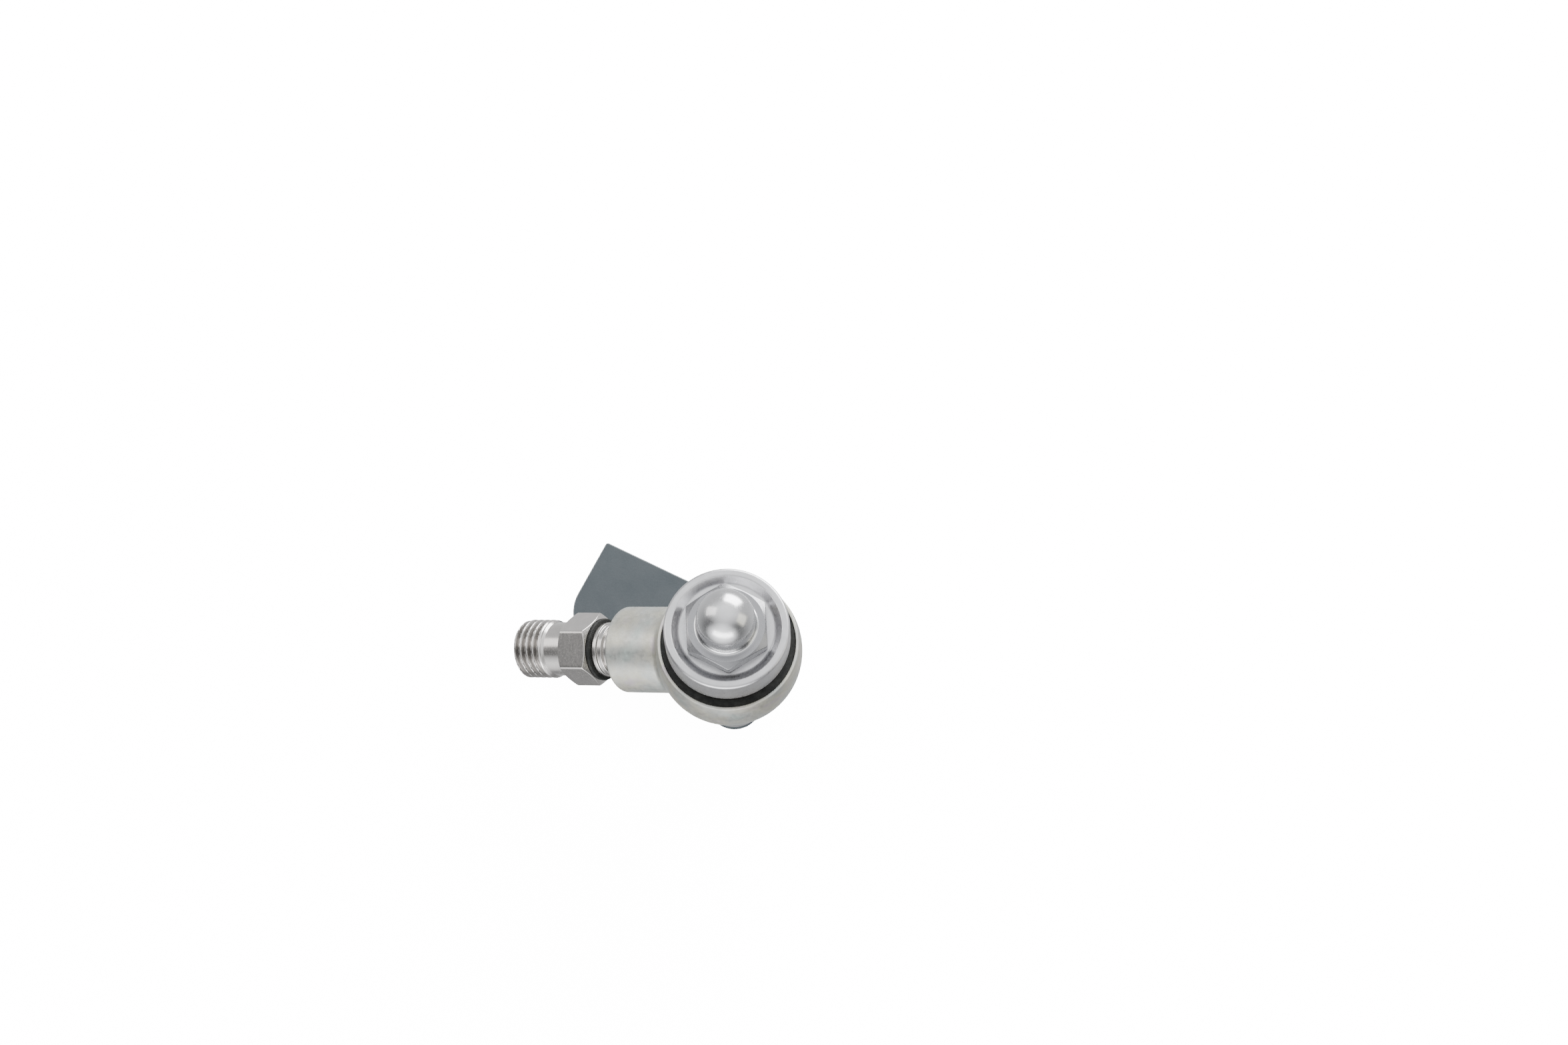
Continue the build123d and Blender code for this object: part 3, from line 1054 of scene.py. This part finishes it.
@dataclass
class PinStack:
    """Everything clamped on the pin: cup, nut, bushes, spacer tube and plate."""

    nut_hexagon: Hexagon = field(default_factory=lambda: Hexagon(across_flats=15.5, turn=43.8))
    nut_height: float = 2.9
    dome_radius: float = 5.7
    fillet_foot: float = 0.5
    bore_radius: float = 4.0
    cup_wall: float = 1.6
    cup_edge: float = 1.0
    dish_depth: float = 1.2
    dish_floor_radius: float = 9.4
    dish_rim_radius: float = 10.8
    dish_fillets: tuple[float, float] = (0.55, 0.9)
    roof_fillet: float = 0.5
    skirt_edges: tuple[float, float] = (0.2, 0.3)
    bore_edge: float = 0.1
    edge: float = 0.2
    dome_fillet: float = 0.7
    bearing_edge: float = 0.3
    chamfer_share: float = 0.4

    def build(self) -> None:
        """Builds and dresses the stack."""
        satin = TurnedSteel(
            "satin_turned", PIN_AXIS, (0.52, 0.52, 0.53), 0.34, marks=0.005, pitch=5.0
        ).make()
        polished = TurnedSteel(
            "polished_nut", PIN_AXIS, (0.60, 0.60, 0.605), 0.22, marks=0.0015, pitch=3.0
        ).make()
        # Painted shade: the nut's hexagon faces get a darker copy of the nut's own steel.
        shaded_flats = TurnedSteel(
            "nut_shaded_flats", PIN_AXIS, (0.27, 0.27, 0.28), 0.27, marks=0.002, pitch=3.0
        ).make()
        plain = TurnedSteel(
            "turned_spacer", PIN_AXIS, (0.58, 0.58, 0.58), 0.30, marks=0.006, pitch=4.0
        ).make()
        cup = self.cup()
        dress(cup, satin)
        stand_in(cup, "cup_washer", Body.PIN, Slot.SATIN)
        nut = self.nut()
        dress(nut, polished, shaded_flats)
        self.mark_flats(nut)
        stand_in(nut, "cap_nut", Body.PIN, Slot.POLISHED)
        for node in ("bush_lower", "bush_upper", "spacer_tube"):
            ring = self.spacer(node)
            dress(ring, plain)
            stand_in(ring, node, Body.PIN, Slot.SATIN)
        dress_node("pivot_pin", plain)
        dress_node("dust_shield", Rubber("shield_rubber").make())
        dress_node("bracket_plate", GreyPaint().make())
        log.info("pin stack built")

    def spacer(self, node: str) -> bpy.types.Object:
        """A ring again, with rounded edges.

        Args:
            node: The plain ring's node.

        Returns:
            The ring, in its place.
        """
        span = PIN_AXIS.span(node)
        inner = min(math.hypot(v.co.x, v.co.y) for v in frame["nodes"][node].data.vertices) / MM
        path = ring_path(span.radius, inner, span.low, span.high, self.edge)
        return turned(f"{node}_ring", PIN_AXIS, path)

    def cup(self) -> bpy.types.Object:
        """Cup washer with a rounded rim, a dished seat for the nut and a hollow below.

        Returns:
            The cup, in its place.
        """
        span = PIN_AXIS.span("cup_washer")
        inner = span.radius - self.cup_wall
        seat = span.high - self.dish_depth
        roof = seat - self.cup_wall
        middle = (roof + seat) / 2
        corners = [
            (self.bore_radius, middle),
            (self.bore_radius, roof),
            (inner, roof),
            (inner, span.low),
            (span.radius, span.low),
            (span.radius, span.high),
            (self.dish_rim_radius, span.high),
            (self.dish_floor_radius, seat),
            (self.bore_radius, seat),
            (self.bore_radius, middle + SEAM),
        ]
        bore = self.bore_edge
        below = [bore, self.roof_fillet, *self.skirt_edges]
        above = [self.cup_edge, *self.dish_fillets, bore]
        path = rounded(corners, [0, *below, *above, 0], steps=8)
        return turned("shield_cup", PIN_AXIS, path)

    def mark_flats(self, nut: bpy.types.Object) -> None:
        """Gives the hexagon's faces, all those outside the dome, the nut's second finish, a darker copy of
        the dome's steel that paints shade on them.
        """
        for face in nut.data.polygons:
            away = math.hypot(face.center.x, face.center.y) / MM
            face.material_index = 1 if away > self.dome_radius + self.fillet_foot else 0

    def nut(self) -> bpy.types.Object:
        """Domed nut: cone-cut hexagon, a fillet and the dome, with a blind bore.

        Returns:
            The nut, in its place.
        """
        span = PIN_AXIS.span("cap_nut")
        shoulder = span.low + self.nut_height
        centre = span.high - self.dome_radius
        pin = PIN_AXIS.span("pivot_pin").high
        hexagon = self.nut_hexagon

        def section(angle: float) -> Path:
            """The nut's section at an angle.

            Args:
                angle: Angle round the axis in radians.

            Returns:
                Points of (radius, height) from the dome's top to the end of the bore.
            """
            side = hexagon.radius(angle)
            face = hexagon.face_radius()
            drop = hexagon.drop(angle)
            dome = arc((0, centre), self.dome_radius, 90, 0, 20)
            lower = [
                dome[-1],
                (self.dome_radius, shoulder),
                (face, shoulder),
                (side, shoulder - drop),
                (side, span.low + self.chamfer_share * drop),
                (face + self.bearing_edge, span.low),
                (self.bore_radius, span.low),
                (self.bore_radius, pin),
                (0, pin),
            ]
            hexagon_edges = [self.edge] * 4
            bore_edges = [self.bore_edge / 2, self.bore_edge]
            return dome[:-1] + rounded(lower, [0, self.dome_fillet, *hexagon_edges, *bore_edges, 0])

        return turned("dome_nut", PIN_AXIS, section, Ends.POLES, 240)


# --------------------------------------------------------------------------------------------------
# Studio


@dataclass(frozen=True)
class Softbox:
    """One area light that faces the object."""

    name: str
    direction: tuple[float, float, float]
    distance: float
    width: float
    height: float
    radiance: float
    colour: tuple[float, float, float] = (1.0, 1.0, 1.0)

    def build(self) -> None:
        """Adds the light, facing the object."""
        lamp = bpy.data.lights.new(self.name, "AREA")
        lamp.shape = "RECTANGLE"
        lamp.size = self.width
        lamp.size_y = self.height
        lamp.energy = self.radiance * math.pi * self.width * self.height
        lamp.color = self.colour
        light = bpy.data.objects.new(self.name, lamp)
        bpy.context.scene.collection.objects.link(light)
        back = Vector(self.direction).normalized()
        light.location = back * self.distance
        light.rotation_euler = back.to_track_quat("Z", "Y").to_euler()


@dataclass(frozen=True)
class SkyFade:
    """Light of the studio's surroundings that changes along one axis of the direction looked in."""

    side: str
    start: float
    end: float
    start_radiance: float
    end_radiance: float


def view_back(azimuth: float, elevation: float) -> Vector:
    """Direction from the object to a viewer at an azimuth and elevation in degrees."""
    a, e = math.radians(azimuth), math.radians(elevation)
    return Vector((math.sin(a) * math.cos(e), -math.cos(a) * math.cos(e), math.sin(e)))


@dataclass
class Studio:
    """Camera, soft lights and a plain pale floor."""

    azimuth: float = 13.22
    elevation: float = 69.3
    roll: float = -2.5
    distance: float = 0.554
    aside: float = 0.01087
    above: float = 0.02536
    lens: float = 64.29
    sensor: float = 36.0
    floor_gap: float = 0.004
    floor_size: float = 6.0
    floor_glow: float = 14.0
    floor_colour: tuple[float, float, float] = (0.93, 0.93, 0.93)
    floor_roughness: float = 0.9
    clip: tuple[float, float] = (0.01, 20.0)
    sky_colour: tuple[float, float, float] = (0.97, 0.98, 1.0)
    fades: tuple[SkyFade, ...] = (
        SkyFade("Y", -0.45, 0.45, 0.25, 0.95),
        SkyFade("Z", 0.45, 0.95, 0.0, 1.4),
        SkyFade("Y", -0.60, -0.95, 0.0, 2.6),
        SkyFade("Z", -0.05, -0.6, 0.0, 0.15),
    )
    lights: tuple[Softbox, ...] = (
        Softbox("key_back", (0.20, 0.905, 0.376), 0.9, width=0.75, height=0.65, radiance=13.0),
        Softbox("front_low", (0.05, -1.0, 0.02), 0.9, width=1.1, height=0.35, radiance=6.0),
        Softbox(
            "stud_side",
            (-0.865, 0.10, 0.60),
            0.8,
            width=0.40,
            height=0.60,
            radiance=2.4,
            colour=(1.0, 0.97, 0.95),
        ),
        Softbox(
            "right_warm",
            (0.95, 0.0, 0.35),
            0.9,
            width=0.50,
            height=0.60,
            radiance=1.6,
            colour=(1.0, 0.97, 0.82),
        ),
    )

    def build(self) -> None:
        """Sets up the picture."""
        self.camera()
        for light in self.lights:
            light.build()
        self.floor()
        self.sky()
        log.info("studio built")

    def camera(self) -> None:
        """Camera that looks down at the nut with the ball's centre left of and below the middle."""
        back = view_back(self.azimuth, self.elevation)
        right = Vector((-back.y, back.x, 0)).normalized()
        up = back.cross(right)
        turn = math.radians(self.roll)
        across = right * math.cos(turn) + up * math.sin(turn)
        upright = up * math.cos(turn) - right * math.sin(turn)
        data = bpy.data.cameras.new("studio_camera")
        data.lens = self.lens
        data.sensor_width = self.sensor
        data.clip_start, data.clip_end = self.clip
        camera = bpy.data.objects.new("studio_camera", data)
        bpy.context.scene.collection.objects.link(camera)
        place = back * self.distance + across * self.aside + upright * self.above
        turned_axes = Matrix((across, upright, back)).transposed().to_4x4()
        camera.matrix_world = Matrix.Translation(place) @ turned_axes
        bpy.context.scene.camera = camera

    def floor(self) -> None:
        """Plain pale floor just below the object."""
        low = Vector(CAD_BOX[0]).z - self.floor_gap
        half = self.floor_size / 2
        mesh = bpy.data.meshes.new("studio_floor")
        corners = [(-half, -half, low), (half, -half, low), (half, half, low), (-half, half, low)]
        mesh.from_pydata(corners, [], [(0, 1, 2, 3)])
        floor = bpy.data.objects.new("studio_floor", mesh)
        bpy.context.scene.collection.objects.link(floor)
        graph = Graph("pale_floor", self.floor_colour, 0.0, self.floor_roughness)
        graph.shader.inputs["Emission Color"].default_value = (1.0, 1.0, 1.0, 1.0)
        graph.shader.inputs["Emission Strength"].default_value = self.floor_glow
        dress(floor, graph.material)
        # The floor is only looked at: the object neither reflects it nor takes light from it.
        floor.visible_diffuse = False
        floor.visible_glossy = False

    def sky(self) -> None:
        """Soft pale light: brightest overhead, and bright from the front and the back."""
        world = bpy.data.worlds.new("studio_world")
        world.use_nodes = True
        nodes = world.node_tree.nodes
        links = world.node_tree.links
        where = nodes.new("ShaderNodeTexCoord")
        split = nodes.new("ShaderNodeSeparateXYZ")
        links.new(where.outputs["Generated"], split.inputs["Vector"])
        total = None
        for fade in self.fades:
            ramp = nodes.new("ShaderNodeMapRange")
            ramp.inputs["From Min"].default_value = fade.start
            ramp.inputs["From Max"].default_value = fade.end
            ramp.inputs["To Min"].default_value = fade.start_radiance
            ramp.inputs["To Max"].default_value = fade.end_radiance
            links.new(split.outputs[fade.side], ramp.inputs["Value"])
            result = ramp.outputs["Result"]
            if total is not None:
                both = nodes.new("ShaderNodeMath")
                links.new(total, both.inputs[0])
                links.new(result, both.inputs[1])
                result = both.outputs["Value"]
            total = result
        background = nodes["Background"]
        background.inputs["Color"].default_value = (*self.sky_colour, 1.0)
        links.new(total, background.inputs["Strength"])
        bpy.context.scene.world = world


def main() -> None:
    """Builds every sub-assembly in order, then the studio."""
    for part in (Head(), ThreadedStud(), Bearing(), PinStack(), Studio()):
        part.build()


if __name__ == "__main__":
    main()
